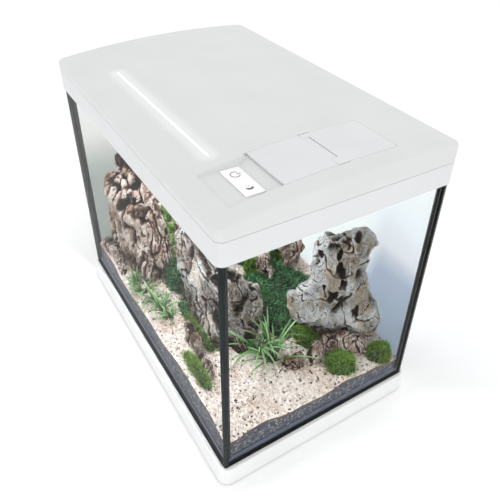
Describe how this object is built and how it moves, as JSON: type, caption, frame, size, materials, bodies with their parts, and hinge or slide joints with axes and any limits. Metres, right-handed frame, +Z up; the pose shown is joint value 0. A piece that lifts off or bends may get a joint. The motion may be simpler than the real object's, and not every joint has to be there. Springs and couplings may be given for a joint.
{
  "type": "aquarium",
  "caption": "Rectangular glass aquarium on a low moulded base, with an arched hinged light hood, a feeding flap, a light control and a planted stone layout.",
  "frame": {"origin": "on the surface the feet stand on, under the middle of the tank", "axes": "+Z up, +X towards the end with the feeding flap and light control, +Y towards the back, where the hood is hinged"},
  "size_m": [0.41, 0.26, 0.3499],
  "materials": {
    "white_plastic": "satin moulded",
    "gloss_white": "gloss",
    "black_plastic": "matte",
    "opal_plastic": "opal, lit",
    "led_lens": "phosphor",
    "grey_rubber": "matte",
    "black_foam": "closed cell foam",
    "black_silicone": "satin",
    "clear_glass": "float glass",
    "planting_soil": "crumbly",
    "pale_gravel": "crushed stone",
    "rugged_stone": "pitted stone",
    "moss": "soft",
    "grass": "waxy",
    "pin_steel": "drawn",
    "circuit_board": "solder mask",
    "anodised_aluminium": "anodised"
  },
  "bodies": {
    "tank": {"plinth": "white_plastic", "rubber_feet": "grey_rubber", "foam_mat": "black_foam", "front_glass": "clear_glass", "back_glass": "clear_glass", "left_glass": "clear_glass", "right_glass": "clear_glass", "floor_glass": "clear_glass", "corner_silicone": "black_silicone", "floor_silicone": "black_silicone", "soil_bed": "planting_soil", "gravel_bed": "pale_gravel", "stone_left": "rugged_stone", "stone_middle": "rugged_stone", "stone_right": "rugged_stone", "small_stones": "rugged_stone", "moss_cushions": "moss", "grass_tufts": "grass", "lid_frame": "white_plastic", "hinge_pins": "pin_steel", "cable_grommet": "grey_rubber", "hood_buffers": "grey_rubber"},
    "hood": {"lid_hood": "white_plastic", "flap_deck": "white_plastic", "flap_pin": "pin_steel", "control_box": "white_plastic", "key_pin": "pin_steel", "control_board": "circuit_board", "tact_switches": "black_plastic", "light_channel": "anodised_aluminium", "led_board": "circuit_board", "led_chips": "led_lens", "light_diffuser": "opal_plastic", "light_caps": "white_plastic", "light_screws": "pin_steel", "glow_strip": "opal_plastic"},
    "flap": {"feed_flap": "white_plastic"},
    "key": {"control_key": "gloss_white"}
  },
  "joints": [
    {"name": "hood_hinge", "type": "hinge", "parent": "tank", "child": "hood", "pos_m": [0, 0.1276, 0.3272], "axis": [-1, 0, 0], "range_deg": [0, 90]},
    {"name": "flap_hinge", "type": "hinge", "parent": "hood", "child": "flap", "pos_m": [0.152, 0.0047, 0.34809], "axis": [-1, 0, 0], "range_deg": [0, 90]},
    {"name": "key_tilt", "type": "hinge", "parent": "hood", "child": "key", "pos_m": [0.152, -0.0767, 0.3355], "axis": [0, 1, 0], "range_deg": [-2.5, 2.5], "stiffness_Nm_per_rad": 0.3}
  ]
}
